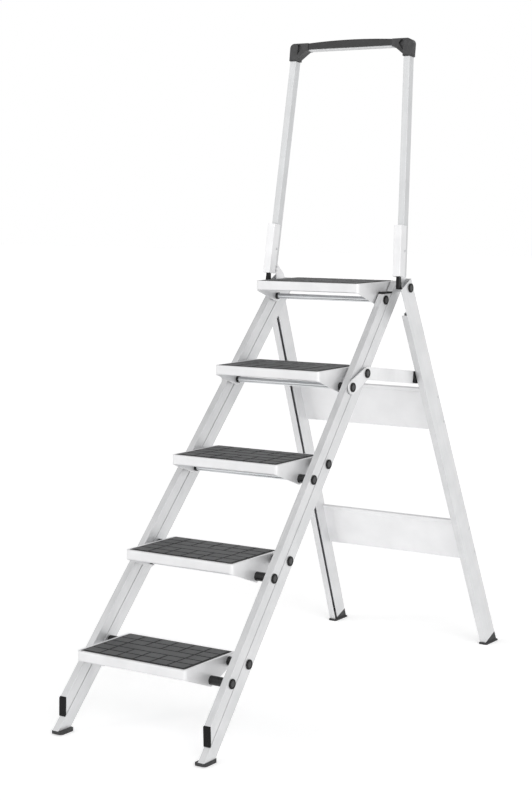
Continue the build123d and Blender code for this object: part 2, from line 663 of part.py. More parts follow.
def rail_corner():
    """Moulded corner on the tube's end, with a gusset under the grip."""
    low = RAIL_END
    outer = RAIL_TOP_X + RAIL_WIDTH / 2 + CORNER_LIP
    inner = RAIL_TOP_X - RAIL_WIDTH / 2 - CORNER_LIP
    bar = GRIP_LOW - CORE_HEIGHT
    outline = make_face(Polyline(
        (inner, low), (outer, low), (outer, CORNER_TOP), (CORNER_END, CORNER_TOP), (CORNER_END, bar),
        (inner - CORNER_GUSSET_RUN, bar), (inner, low + CORNER_GUSSET_FOOT), close=True))
    outline = fillet(outline.vertices().sort_by(Axis.X)[-2:].sort_by(Axis.Y)[-1:], CORNER_ROUND)
    corner = front_plate(outline, RAIL_DEPTH + 2 * CORNER_LIP)
    inset = RAIL_WALL + PLUG_CLEARANCE
    stub = section(RAIL_WIDTH - 2 * inset, TUBE_AHEAD - inset, RAIL_DEPTH - 2 * inset, BORE_ROUND,
                   RAIL_END - PLUG_LENGTH, RAIL_END + OVERCUT)
    return RAIL_PLANE * corner + RAIL_FRAME * stub


def grip():
    """Slightly arched grip over the core bar."""
    end = CORNER_END
    outline = make_face([
        Line((-end, GRIP_LOW), (end, GRIP_LOW)),
        Line((end, GRIP_LOW), (end, CORNER_TOP)),
        ThreePointArc((end, CORNER_TOP), (0, CORNER_TOP + GRIP_ARCH), (-end, CORNER_TOP)),
        Line((-end, CORNER_TOP), (-end, GRIP_LOW)),
    ])
    bar = front_plate(outline, GRIP_DEPTH)
    long_edges = bar.edges().filter_by(GeomType.CIRCLE)
    return RAIL_PLANE * fillet(long_edges, GRIP_ROUND)


def grip_core():
    """Aluminium bar under the grip, from corner to corner."""
    high = GRIP_LOW
    core = box((-CORNER_END, CORNER_END), (-CORE_DEPTH / 2, CORE_DEPTH / 2), (high - CORE_HEIGHT, high))
    return RAIL_PLANE * (Pos(0, RAIL_MIDDLE, 0) * core)


def main():
    os.makedirs("parts", exist_ok=True)
    for index in range(TREAD_COUNT):
        write_tread(index)
    write_pair("rear_stile", rear_stile())
    write_pair("front_foot", front_foot())
    write_pair("front_stile", front_stile())
    plug, cap = front_stile_ends()
    write("front_stile_plugs", both([plug]))
    write("front_stile_caps", both([cap]))
    write_pair("back_leg", back_leg())
    write_pair("back_foot", back_foot())
    write("upper_back_panel", [back_panel(UPPER_PANEL_DROP)])
    write("lower_back_panel", [back_panel(LOWER_PANEL_DROP)])
    write("back_panel_rivets", both(panel_rivets()))
    write_pair("spreader_link", spreader_link())
    write("spreader_pins", both([link_pin()]))
    write("spreader_slider_pads", both([slider_pad()]))
    write_pair("handrail_tube", rail_tube())
    write_pair("handrail_channel", rail_channel())
    write("handrail_pegs", both([channel_peg()]))
    write_pair("handrail_bracket", hinge_bracket())
    write("handrail_rivets", both(rail_rivets()))
    write_pair("handrail_corner", rail_corner())
    write("handrail_grip", [grip()])
    write("handrail_core", [grip_core()])


main()
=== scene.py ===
import math
import bpy
import bmesh
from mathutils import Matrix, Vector


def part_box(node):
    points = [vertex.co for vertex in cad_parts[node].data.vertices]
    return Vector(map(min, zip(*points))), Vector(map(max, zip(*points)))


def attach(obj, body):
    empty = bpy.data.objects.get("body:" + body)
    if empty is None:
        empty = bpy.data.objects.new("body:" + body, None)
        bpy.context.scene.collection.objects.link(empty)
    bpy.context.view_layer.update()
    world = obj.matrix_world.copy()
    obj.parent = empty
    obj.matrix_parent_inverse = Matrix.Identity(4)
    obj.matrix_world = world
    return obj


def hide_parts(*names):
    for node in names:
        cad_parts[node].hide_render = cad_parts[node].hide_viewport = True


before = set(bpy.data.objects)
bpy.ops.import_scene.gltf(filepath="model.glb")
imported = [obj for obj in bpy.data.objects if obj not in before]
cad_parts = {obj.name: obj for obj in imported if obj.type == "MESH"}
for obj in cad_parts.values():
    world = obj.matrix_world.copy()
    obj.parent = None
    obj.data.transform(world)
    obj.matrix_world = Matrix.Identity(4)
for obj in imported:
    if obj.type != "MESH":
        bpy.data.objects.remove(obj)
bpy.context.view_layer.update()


# White sweep
# The ladder stands on a pale floor that runs into a white wall. The wall is the brightest part of the
# room and the ceiling is greyer, which is what the satin metal mirrors.
MM = 0.001
PICTURE_HEIGHT_PX = 800
FOCAL_PX = 1757.0
SENSOR_MM = 24.0
LENS_FROM_MIDDLE = Vector((2.704, -4.1633, 1.4142))
LENS_TURN_DEG = 33.786
LENS_DIP_DEG = 6.806
WALL_LIGHT = 0.93
CEILING_LIGHT = 0.42
WALL_EDGE = 0.22
CEILING_EDGE = 0.85
FLOOR_SPAN = 60.0
FLOOR_GLOW = 0.36
FLOOR_WHITE = "#f4f4f4"
# Soft suns: heading (0 from the front, 90 from the right), height and spread in degrees, and strength.
SUNS = {
    "key_from_right": (52, 30, 40, 0.68), "edge_from_right": (57, 3, 16, 0.36),
    "fill_from_front": (-25, 25, 70, 0.36), "edge_from_front": (-40, 33, 14, 0.16)}


def linear(hex_colour):
    """An sRGB hex colour as linear red, green, blue and alpha."""
    parts = [int(hex_colour[i:i + 2], 16) / 255 for i in (1, 3, 5)]
    return [p / 12.92 if p <= 0.04045 else ((p + 0.055) / 1.055) ** 2.4 for p in parts] + [1.0]


def add(tree, kind, sets=None, **inputs):
    """Adds a node, sets its properties and fills inputs, by name or as i0, i1, with values or sockets."""
    made = tree.nodes.new(kind)
    for key, value in (sets or {}).items():
        setattr(made, key, value)
    for key, value in inputs.items():
        socket = made.inputs[int(key[1:]) if key[1:].isdigit() else key.replace("_", " ")]
        if isinstance(value, bpy.types.NodeSocket):
            tree.links.new(value, socket)
        else:
            socket.default_value = value
    return made


def place(name, data):
    """Puts an object in the scene."""
    made = bpy.data.objects.new(name, data)
    bpy.context.collection.objects.link(made)
    return made


def seen(tree):
    """1 for rays that show the room: straight to the camera, mirrored, or through something clear."""
    rays = add(tree, "ShaderNodeLightPath").outputs
    mirrored = add(tree, "ShaderNodeMath", {"operation": "MAXIMUM"}, i0=rays["Is Glossy Ray"],
                   i1=rays["Is Transmission Ray"]).outputs[0]
    return add(tree, "ShaderNodeMath", {"operation": "MAXIMUM"}, i0=rays["Is Camera Ray"],
               i1=mirrored).outputs[0]


lens = bpy.data.cameras.new("ladder_lens")
lens.sensor_fit = "VERTICAL"
lens.sensor_height = SENSOR_MM
lens.lens = SENSOR_MM * FOCAL_PX / PICTURE_HEIGHT_PX
camera = place("ladder_camera", lens)
camera.location = LENS_FROM_MIDDLE
camera.rotation_euler = (math.radians(90 - LENS_DIP_DEG), 0, math.radians(LENS_TURN_DEG))
bpy.context.scene.camera = camera
bpy.context.scene.view_settings.view_transform = "Standard"

world = bpy.data.worlds.new("white_sweep")
bpy.context.scene.world = world
world.use_nodes = True
room = world.node_tree
room.nodes.clear()
heading = add(room, "ShaderNodeTexCoord").outputs["Generated"]
height = add(room, "ShaderNodeSeparateXYZ", Vector=heading).outputs["Z"]
wall = add(room, "ShaderNodeMix", Factor=seen(room), i2=WALL_LIGHT, i3=1.0).outputs[0]
grey = add(room, "ShaderNodeMapRange", {"interpolation_type": "SMOOTHSTEP"}, Value=height, From_Min=WALL_EDGE,
           From_Max=CEILING_EDGE, To_Min=wall, To_Max=CEILING_LIGHT).outputs["Result"]
rays = add(room, "ShaderNodeLightPath").outputs
bright = add(room, "ShaderNodeMix", Factor=rays["Is Camera Ray"], i2=grey, i3=1.0).outputs[0]
glow = add(room, "ShaderNodeBackground", Strength=bright)
glow.inputs["Color"].default_value = (1, 1, 1, 1)
add(room, "ShaderNodeOutputWorld", Surface=glow.outputs[0])

for name, (heading_deg, height_deg, spread_deg, strength) in SUNS.items():
    light = bpy.data.lights.new(name, "SUN")
    light.energy = strength
    light.angle = math.radians(spread_deg)
    lamp = place(name, light)
    lamp.rotation_euler = (math.radians(90 - height_deg), 0, math.radians(heading_deg))

half = FLOOR_SPAN / 2
floor_mesh = bpy.data.meshes.new("sweep_floor")
corners = [(-half, -half, 0), (half, -half, 0), (half, half, 0), (-half, half, 0)]
floor_mesh.from_pydata(corners, [], [(0, 1, 2, 3)])
floor = place("sweep_floor", floor_mesh)
floor_paint = bpy.data.materials.new("matt_white_floor_paint")
floor_paint.use_nodes = True
tree = floor_paint.node_tree
tree.nodes.clear()
lit = add(tree, "ShaderNodeBsdfDiffuse", Color=linear(FLOOR_WHITE))
shine = add(tree, "ShaderNodeEmission", Strength=FLOOR_GLOW)
both = add(tree, "ShaderNodeAddShader", i0=lit.outputs[0], i1=shine.outputs[0])
white = add(tree, "ShaderNodeMixShader", Fac=seen(tree), i1=lit.outputs[0], i2=both.outputs[0])
add(tree, "ShaderNodeOutputMaterial", Surface=white.outputs[0])
floor_mesh.materials.append(floor_paint)


# Stiles
# Rectangular aluminium tubes, extruded and satin etched. The die leaves faint lines along the tube, the
# etch leaves soft patches, and the sawn edges are broken by a hair so that they catch the light.
SATIN_SHADES = ("#d6d7d8", "#e5e5e6", "#f6f6f7")
DIE_LINE_MM = 5.0
DIE_LINE_LENGTH_MM = 600.0
DIE_LINE_DEPTH_MM = 0.03
DIE_LINE_SHARE = 0.35
ETCH_PATCH_MM = 70.0
SATIN_METAL = 0.65
SATIN_ROUGH = (0.40, 0.48)
BROKEN_EDGE_MM = 0.5
EDGE_SAMPLES = 6
RUB_STARTS = 0.98
RUB_FULL = 0.80
NOISE_LOW = 0.3
NOISE_HIGH = 0.7
STILE_SLOPE_DEG = 48.12


def surface(name, edge_mm):
    """A material with a Principled shader and softened edges: its tree, shader, place and edge normal."""
    material = bpy.data.materials.new(name)
    material.use_nodes = True
    tree = material.node_tree
    tree.nodes.clear()
    shader = add(tree, "ShaderNodeBsdfPrincipled")
    add(tree, "ShaderNodeOutputMaterial", Surface=shader.outputs[0])
    where = add(tree, "ShaderNodeTexCoord").outputs["Object"]
    edge = add(tree, "ShaderNodeBevel", {"samples": EDGE_SAMPLES}, Radius=edge_mm * MM).outputs[0]
    return material, tree, shader, where, edge


def lumps(tree, where, size_mm, detail=3.0):
    """Noise with lumps of about a size in millimetres."""
    return add(tree, "ShaderNodeTexNoise", Vector=where, Scale=1000.0 / size_mm, Detail=detail).outputs[0]


def ranged(tree, value, low, high):
    """Noise stretched from its usual span to a range."""
    return add(tree, "ShaderNodeMapRange", Value=value, From_Min=NOISE_LOW, From_Max=NOISE_HIGH,
               To_Min=low, To_Max=high).outputs["Result"]


def mixed(tree, share, first, second):
    """A colour between two by a share."""
    return add(tree, "ShaderNodeMix", {"data_type": "RGBA"}, Factor=share, i6=first, i7=second).outputs[2]


def dress(tree, shader, edge, tone, shades, rough, relief, depth_mm):
    """Links to a shader a dull or pale shade by a tone, a third shade where edges are rubbed, a
    roughness, and a bump of a real depth."""
    colour = mixed(tree, ranged(tree, tone, 0.0, 1.0), linear(shades[0]), linear(shades[1]))
    flat = add(tree, "ShaderNodeNewGeometry").outputs["Normal"]
    along = add(tree, "ShaderNodeVectorMath", {"operation": "DOT_PRODUCT"}, i0=edge, i1=flat).outputs["Value"]
    rubbed = add(tree, "ShaderNodeMapRange", Value=along, From_Min=RUB_STARTS,
                 From_Max=RUB_FULL).outputs["Result"]
    colour = mixed(tree, rubbed, colour, linear(shades[2]))
    bump = add(tree, "ShaderNodeBump", Height=relief, Distance=depth_mm * MM, Normal=edge).outputs[0]
    tree.links.new(colour, shader.inputs["Base Color"])
    tree.links.new(rough, shader.inputs["Roughness"])
    tree.links.new(bump, shader.inputs["Normal"])


def extruded_aluminium(name, slope_deg, shades=SATIN_SHADES, edge_mm=BROKEN_EDGE_MM):
    """Satin extrusion: pale grey with soft sheen, and lines along a member at a slope in the side view."""
    material, tree, shader, where, edge = surface(name, edge_mm)
    tilt = (-math.radians(slope_deg), 0, 0)
    turned = add(tree, "ShaderNodeMapping", Vector=where, Rotation=tilt).outputs[0]
    squeeze = (1 / DIE_LINE_MM, 1 / DIE_LINE_LENGTH_MM, 1 / DIE_LINE_MM)
    drawn = add(tree, "ShaderNodeMapping", Vector=turned, Scale=squeeze).outputs[0]
    lines = add(tree, "ShaderNodeTexNoise", Vector=drawn, Scale=1 / MM, Detail=2.0).outputs[0]
    patches = lumps(tree, where, ETCH_PATCH_MM)
    tone = add(tree, "ShaderNodeMix", Factor=DIE_LINE_SHARE, i2=patches, i3=lines).outputs[0]
    shader.inputs["Metallic"].default_value = SATIN_METAL
    dress(tree, shader, edge, tone, shades, ranged(tree, tone, *SATIN_ROUGH), lines, DIE_LINE_DEPTH_MM)
    return material


def finish(material, *names):
    """Gives CAD nodes a finish."""
    for name in names:
        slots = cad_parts[name].data.materials
        slots.clear()
        slots.append(material)


def pair(name):
    """The names of a right and a left piece."""
    return name + "_right", name + "_left"


stile_aluminium = extruded_aluminium("satin_extruded_stile_aluminium", STILE_SLOPE_DEG)
finish(stile_aluminium, *pair("rear_stile"), *pair("front_stile"))


# Feet, plugs and caps of the stiles
# The feet are moulded rubber with a dull skin. The plugs and caps are injection-moulded nylon, deep
# black, with a little gloss from the polished tool.
RUBBER_SHADES = ("#2a2a2b", "#363637", "#444445")
NYLON_SHADES = ("#0c0c0d", "#131314", "#1c1c1d")
RUBBER_ROUGH = 0.60
RUBBER_GRAIN_DEPTH_MM = 0.06
NYLON_ROUGH = 0.28
NYLON_GRAIN_DEPTH_MM = 0.01
NYLON_SHINE = 0.18
USUAL_SHINE = 0.5
SKIN_GRAIN_MM = 1.8
SKIN_ROUGH_SPREAD = 0.06
HANDLING_PATCH_MM = 18.0


def moulded(name, shades, rough, depth_mm, shine=USUAL_SHINE):
    """Moulded black: fine tool grain, and patches where hands and floors have rubbed it paler."""
    material, tree, shader, where, edge = surface(name, BROKEN_EDGE_MM)
    shader.inputs["Specular IOR Level"].default_value = shine
    grain = lumps(tree, where, SKIN_GRAIN_MM, 2.0)
    patches = lumps(tree, where, HANDLING_PATCH_MM)
    gloss = ranged(tree, grain, rough - SKIN_ROUGH_SPREAD, rough + SKIN_ROUGH_SPREAD)
    dress(tree, shader, edge, patches, shades, gloss, grain, depth_mm)
    return material


foot_rubber = moulded("moulded_foot_rubber", RUBBER_SHADES, RUBBER_ROUGH, RUBBER_GRAIN_DEPTH_MM)
finish(foot_rubber, *pair("front_foot"))
black_nylon = moulded("polished_black_nylon", NYLON_SHADES, NYLON_ROUGH, NYLON_GRAIN_DEPTH_MM, NYLON_SHINE)
finish(black_nylon, "front_stile_plugs", "front_stile_caps")


# Tread trays
# Pressed from aluminium sheet and bead blasted, so that they are paler, more even and a little rougher
# than the stiles. The pressed edges are round and catch the light.
TREADS = range(1, 6)
BLAST_SHADES = ("#e4e4e5", "#eeeeef", "#f9f9fa")
BLAST_GRIT_MM = 2.2
BLAST_DEPTH_MM = 0.03
BLAST_METAL = 0.5
BLAST_ROUGH_SPREAD = 0.04
TRAY_ROUGH = 0.40
PRESSED_EDGE_MM = 1.6


def blasted_sheet(name, shades, edge_mm, rough):
    """Bead-blasted sheet: an even pale grey with a fine frosted grain."""
    material, tree, shader, where, edge = surface(name, edge_mm)
    grit = lumps(tree, where, BLAST_GRIT_MM, 2.0)
    patches = lumps(tree, where, ETCH_PATCH_MM)
    shader.inputs["Metallic"].default_value = BLAST_METAL
    gloss = ranged(tree, grit, rough - BLAST_ROUGH_SPREAD, rough + BLAST_ROUGH_SPREAD)
    dress(tree, shader, edge, patches, shades, gloss, grit, BLAST_DEPTH_MM)
    return material


tray_sheet = blasted_sheet("blasted_tread_aluminium", BLAST_SHADES, PRESSED_EDGE_MM, TRAY_ROUGH)
finish(tray_sheet, *[f"tread_{n}_tray" for n in TREADS])


# Axles, spacers and caps of the treads
# Drawn aluminium rods run right across. Black nylon spacers keep the tray off the stiles, and moulded caps
# with a polished rim, a sunk ring and a grained face are pressed on the ends.
ROD_SHADES = ("#cfd1d3", "#dddfe1", "#eceeef")
DIE_MARK_MM = 3.0
DIE_MARK_LENGTH_MM = 200.0
DIE_MARK_DEPTH_MM = 0.01
DIE_MARK_ROUGH_SPREAD = 0.05
ROD_ROUGH = 0.28
SPACER_ROUGH = 0.18
SPACER_SHINE = 0.4
CAP_SHADES = ("#2e2e2f", "#3b3b3c", "#474748")
CAP_ROUGH = 0.48
CAP_GRAIN_DEPTH_MM = 0.03
CAP_DIAMETER_MM = 26.5
CAP_THICKNESS_MM = 3.0
CAP_ROUND_MM = 1.0
CAP_ROUND_DRAWN_IN = 0.2
CAP_RING_MM = 19.5
CAP_RING_WIDTH_MM = 1.6
CAP_RING_DEPTH_MM = 0.8
CAP_SIDES = 48
WELD_MM = 0.01


def bright_metal(name, shades, rough):
    """Drawn or set metal: bright, with faint marks from the die along it."""
    material, tree, shader, where, edge = surface(name, BROKEN_EDGE_MM)
    along = (DIE_MARK_MM / DIE_MARK_LENGTH_MM, 1, 1)
    marks = lumps(tree, add(tree, "ShaderNodeMapping", Vector=where, Scale=along).outputs[0], DIE_MARK_MM)
    shader.inputs["Metallic"].default_value = 1.0
    gloss = ranged(tree, marks, rough - DIE_MARK_ROUGH_SPREAD, rough + DIE_MARK_ROUGH_SPREAD)
    dress(tree, shader, edge, marks, shades, gloss, marks, DIE_MARK_DEPTH_MM)
    return material


def named_tree(name, sizes, counts=(), fed=False):
    """An empty tree of geometry nodes with named inputs, and what it is given."""
    tree = bpy.data.node_groups.new(name, "GeometryNodeTree")
    tree.interface.new_socket("Geometry", in_out="OUTPUT", socket_type="NodeSocketGeometry")
    if fed:
        tree.interface.new_socket("Points", in_out="INPUT", socket_type="NodeSocketGeometry")
    for size in sizes:
        tree.interface.new_socket(size, in_out="INPUT", socket_type="NodeSocketFloat")
    for count in counts:
        tree.interface.new_socket(count, in_out="INPUT", socket_type="NodeSocketInt")
    return tree, add(tree, "NodeGroupInput").outputs


def sums(tree, operation, a, b):
    """One sum in a tree of nodes."""
    return add(tree, "ShaderNodeMath", {"operation": operation}, i0=a, i1=b).outputs[0]


def closed_below(tree, raised, base):
    """Raised faces, closed by the faces that they were raised from."""
    under = add(tree, "GeometryNodeFlipFaces", Mesh=base).outputs[0]
    whole = add(tree, "GeometryNodeJoinGeometry")
    tree.links.new(raised, whole.inputs[0])
    tree.links.new(under, whole.inputs[0])
    return add(tree, "GeometryNodeMergeByDistance", Geometry=whole.outputs[0],
               Distance=WELD_MM * MM).outputs[0]


def two_finishes(tree, mesh, walls, tops, chosen):
    """A mesh with one finish on its walls and another on the chosen faces."""
    mesh = add(tree, "GeometryNodeSetMaterial", Geometry=mesh, Material=walls).outputs[0]
    return add(tree, "GeometryNodeSetMaterial", Geometry=mesh, Selection=chosen, Material=tops).outputs[0]


def cap_tree(rim, face):
    """A cap on every point, facing away from the ladder: wall, rounded rim, sunk ring and raised face."""
    sizes = ("Radius", "Thickness", "Round", "Ring", "Ring width", "Ring depth")
    tree, given = named_tree("axle_caps", sizes, ("Sides",), fed=True)
    disc = add(tree, "GeometryNodeMeshCircle", {"fill_type": "NGON"}, Vertices=given["Sides"],
               Radius=given["Radius"]).outputs[0]
    half_round = sums(tree, "MULTIPLY", given["Round"], 0.5)
    soft = sums(tree, "SUBTRACT", given["Radius"], sums(tree, "MULTIPLY", given["Round"],
                                                                CAP_ROUND_DRAWN_IN))
    flat = sums(tree, "SUBTRACT", given["Radius"], given["Round"])
    floor_in = sums(tree, "SUBTRACT", given["Ring"], given["Ring width"])
    sunk = sums(tree, "MULTIPLY", given["Ring depth"], -1.0)
    wall = sums(tree, "SUBTRACT", given["Thickness"], given["Round"])
    steps = ((wall, given["Radius"]), (half_round, soft), (half_round, flat), (0.0, given["Ring"]),
             (sunk, given["Ring"]), (0.0, floor_in), (given["Ring depth"], floor_in))
    cap, top, radius = disc, True, given["Radius"]
    for lift, wider in steps:
        raised = add(tree, "GeometryNodeExtrudeMesh", {"mode": "FACES"}, Mesh=cap, Selection=top,
                     Offset_Scale=lift, Individual=False).outputs
        top = raised["Top"]
        cap = add(tree, "GeometryNodeScaleElements", {"domain": "FACE"}, Geometry=raised["Mesh"],
                  Selection=top, Scale=sums(tree, "DIVIDE", wider, radius)).outputs[0]
        radius = wider
    closed = closed_below(tree, cap, disc)
    spot = add(tree, "GeometryNodeInputPosition").outputs[0]
    across = add(tree, "ShaderNodeSeparateXYZ", Vector=spot).outputs["X"]
    sign = add(tree, "ShaderNodeMath", {"operation": "SIGN"}, i0=across).outputs[0]
    side = add(tree, "ShaderNodeCombineXYZ", X=sign)
    turn = add(tree, "FunctionNodeAlignRotationToVector", {"axis": "Z"}, Vector=side.outputs[0]).outputs[0]
    set_on = add(tree, "GeometryNodeInstanceOnPoints", Points=given["Points"], Instance=closed, Rotation=turn)
    real = add(tree, "GeometryNodeRealizeInstances", Geometry=set_on.outputs[0]).outputs[0]
    add(tree, "NodeGroupOutput", Geometry=two_finishes(tree, real, rim, face, top))
    return tree


def grown(name, tree, sizes, points=()):
    """The plain mesh that a tree of nodes grows with named sizes, on some points where it takes any."""
    seed = place(name, bpy.data.meshes.new(name))
    seed.data.from_pydata(points, [], [])
    modifier = seed.modifiers.new("grow", "NODES")
    modifier.node_group = tree
    for item in tree.interface.items_tree:
        if item.in_out == "INPUT" and item.name in sizes:
            modifier[item.identifier] = sizes[item.name]
    bpy.context.view_layer.update()
    ready = seed.evaluated_get(bpy.context.evaluated_depsgraph_get())
    mesh = bpy.data.meshes.new_from_object(ready)
    bpy.data.objects.remove(seed)
    return mesh


def stand_for(name, mesh, body, node):
    """Puts a finished mesh on a body, in place of a CAD node, which it hides."""
    piece = place(name, mesh)
    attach(piece, body)
    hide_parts(node)


def cap_seats(node):
    """Where each cap of a CAD node sits: the middle of its inner face, for both sides and both axles."""
    low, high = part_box(node)
    between = (low[1] + high[1]) / 2
    seats = []
    for right in (True, False):
        for rear in (True, False):
            spots = [v.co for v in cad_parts[node].data.vertices
                     if (v.co.x > 0) == right and (v.co.y > between) == rear]
            inner = min((spot.x for spot in spots), key=abs)
            ends = [(min(spot[k] for spot in spots), max(spot[k] for spot in spots)) for k in (1, 2)]
            seats.append((inner, *[sum(span) / 2 for span in ends]))
    return seats


spacer_nylon = moulded("glossy_spacer_nylon", NYLON_SHADES, SPACER_ROUGH, NYLON_GRAIN_DEPTH_MM,
                       SPACER_SHINE)
drawn_rod = bright_metal("bright_drawn_aluminium", ROD_SHADES, ROD_ROUGH)
grained_nylon = moulded("grained_black_nylon", CAP_SHADES, CAP_ROUGH, CAP_GRAIN_DEPTH_MM)
caps = cap_tree(black_nylon, grained_nylon)
cap_sizes = {
    "Radius": CAP_DIAMETER_MM / 2 * MM, "Thickness": CAP_THICKNESS_MM * MM, "Round": CAP_ROUND_MM * MM,
    "Ring": CAP_RING_MM / 2 * MM, "Ring width": CAP_RING_WIDTH_MM * MM, "Ring depth": CAP_RING_DEPTH_MM * MM,
    "Sides": CAP_SIDES}
for number in TREADS:
    finish(drawn_rod, f"tread_{number}_axles")
    finish(spacer_nylon, f"tread_{number}_spacers")
    seats = cap_seats(f"tread_{number}_caps")
    stand_for(f"axle_caps_{number}", grown(f"axle_caps_{number}", caps, cap_sizes, seats), f"tread_{number}",
              f"tread_{number}_caps")
finish(stile_aluminium, "top_axle_sleeves")


# Tread mats
# Moulded rubber sheets glued into the beds of the trays. Rows of raised blocks, with thin grooves between
# them, run round one plain block in the middle. Every block has a bevelled edge. The sheet, the grooves and
# the walls and bevels of the blocks are a deeper copy of the rubber: painted shade where the blocks keep the
# light out.
MAT_SHEET_MM = 3.2
MAT_BLOCK_MM = 1.2
MAT_ROWS = 5
MAT_COLUMNS = 6
MAT_GROOVE_MM = 4.0
MAT_MARGIN_MM = 7.0
MAT_BEVEL_MM = 0.5
MAT_CORNER_MM = 3.7
MAT_SHADES = ("#454647", "#535455", "#606162")
# A deeper copy of the mat rubber: painted shade for the grooves, the sheet and the walls and bevels of the
# blocks.
PAINTED_SHADE_RUBBER_TONES = ("#0f0f10", "#161617", "#1a1a1b")
MAT_RIB_MM = 4.0
MAT_RIB_DEPTH_MM = 0.15
MAT_ROUGH = (0.52, 0.66)
CORNER_STEPS = 6


def mat_rubber(name, shades):
    """Dull grey-black rubber with fine ribs across, drawn coarser than they are so that they show."""
    material, tree, shader, where, edge = surface(name, MAT_BEVEL_MM)
    grain = lumps(tree, where, SKIN_GRAIN_MM)
    patches = lumps(tree, where, ETCH_PATCH_MM)
    depth = add(tree, "ShaderNodeSeparateXYZ", Vector=where).outputs["Y"]
    turns = sums(tree, "MULTIPLY", depth, 2 * math.pi / (MAT_RIB_MM * MM))
    ribs = add(tree, "ShaderNodeMath", {"operation": "SINE"}, i0=turns).outputs[0]
    relief = sums(tree, "ADD", ribs, grain)
    dress(tree, shader, edge, patches, shades, ranged(tree, grain, *MAT_ROUGH), relief, MAT_RIB_DEPTH_MM)
    return material


def block_tree(tops, walls):
    """Grid of bevelled blocks: faces split apart, drawn in at the grooves, raised and bevelled. The walls and
    bevels take the walls finish, which on the mats is the painted shade rubber.
    """
    sizes = ("Width", "Depth", "Block height", "Bevel", "Groove")
    tree, given = named_tree("mat_blocks", sizes, ("Columns", "Rows"))
    grid = add(tree, "GeometryNodeMeshGrid", Size_X=given["Width"], Size_Y=given["Depth"],
               Vertices_X=sums(tree, "ADD", given["Columns"], 1),
               Vertices_Y=sums(tree, "ADD", given["Rows"], 1))
    cells = add(tree, "GeometryNodeSplitEdges", Mesh=grid.outputs["Mesh"]).outputs[0]
    pitches = ((sums(tree, "DIVIDE", given["Width"], given["Columns"]), (1, 0, 0)),
               (sums(tree, "DIVIDE", given["Depth"], given["Rows"]), (0, 1, 0)))

    def drawn_in(mesh, gap, chosen=True):
        """Faces made smaller by a gap, along X and then along Y."""
        for pitch, axis in pitches:
            share = sums(tree, "SUBTRACT", 1.0, sums(tree, "DIVIDE", gap, pitch))
            mesh = add(tree, "GeometryNodeScaleElements", {"domain": "FACE", "scale_mode": "SINGLE_AXIS"},
                       Geometry=mesh, Selection=chosen, Scale=share, Axis=axis).outputs[0]
        return mesh

    rise = sums(tree, "SUBTRACT", given["Block height"], given["Bevel"])
    feet = drawn_in(cells, given["Groove"])
    raised = add(tree, "GeometryNodeExtrudeMesh", {"mode": "FACES"}, Mesh=feet, Offset_Scale=rise,
                 Individual=True).outputs
    edge = add(tree, "GeometryNodeExtrudeMesh", {"mode": "FACES"}, Mesh=raised["Mesh"],
               Selection=raised["Top"], Offset_Scale=given["Bevel"], Individual=True).outputs
    bevelled = drawn_in(edge["Mesh"], sums(tree, "MULTIPLY", given["Bevel"], 2.0), edge["Top"])
    blocks = closed_below(tree, bevelled, feet)
    real = add(tree, "GeometryNodeRealizeInstances", Geometry=blocks).outputs[0]
    # On the mats the walls and bevels get the painted shade rubber and only the tops keep the block rubber.
    add(tree, "NodeGroupOutput", Geometry=two_finishes(tree, real, walls, tops, edge["Top"]))
    return tree


def slab(shape, size, base, corner, bevel, wall_finish, top_finish):
    """Adds a slab with round corners and a bevelled top edge, in two of the mesh's finishes, to a bmesh."""
    outline = []
    for turn, (sx, sy) in enumerate(((1, 1), (-1, 1), (-1, -1), (1, -1))):
        for step in range(CORNER_STEPS + 1):
            angle = math.pi / 2 * (turn + step / CORNER_STEPS)
            centre = Vector(((size.x / 2 - corner) * sx, (size.y / 2 - corner) * sy, 0))
            outline.append((base + centre, Vector((math.cos(angle), math.sin(angle), 0))))
    rings = []
    for radius, z in ((corner, 0), (corner, size.z - bevel), (corner - bevel, size.z)):
        up = Vector((0, 0, z))
        rings.append([shape.verts.new(centre + out * radius + up) for centre, out in outline])
    count = len(outline)
    for low, high in zip(rings, rings[1:]):
        for i in range(count):
            j = (i + 1) % count
            shape.faces.new((low[i], low[j], high[j], high[i])).material_index = wall_finish
    shape.faces.new(rings[0][::-1]).material_index = wall_finish
    shape.faces.new(rings[-1]).material_index = top_finish


block_rubber = mat_rubber("moulded_mat_rubber", MAT_SHADES)
# The same rubber in a deeper tone, painted shade for the grooves, the sheet and the block walls.
painted_shade_rubber = mat_rubber("moulded_rubber_painted_shade", PAINTED_SHADE_RUBBER_TONES)
low, high = [Vector(corner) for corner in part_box("tread_1_mat")]
mat = high - low
groove, block, bevel = MAT_GROOVE_MM * MM, MAT_BLOCK_MM * MM, MAT_BEVEL_MM * MM
spare = groove - 2 * MAT_MARGIN_MM * MM
field = grown("mat_block_field", block_tree(block_rubber, painted_shade_rubber), {
    "Width": mat.x + spare, "Depth": mat.y + spare, "Block height": block, "Bevel": bevel, "Groove": groove,
    "Columns": MAT_COLUMNS, "Rows": MAT_ROWS})
plain_width = (mat.x + spare) * (MAT_COLUMNS - 2) / MAT_COLUMNS - groove
plain = Vector((plain_width, (mat.y + spare) / MAT_ROWS - groove, block))
reach = plain / 2 + Vector((groove, groove, groove)) / 2
rubbers = list(field.materials)
# Slots of the painted shade rubber and of the block tops.
painted_shade_slot, pale = rubbers.index(painted_shade_rubber), rubbers.index(block_rubber)
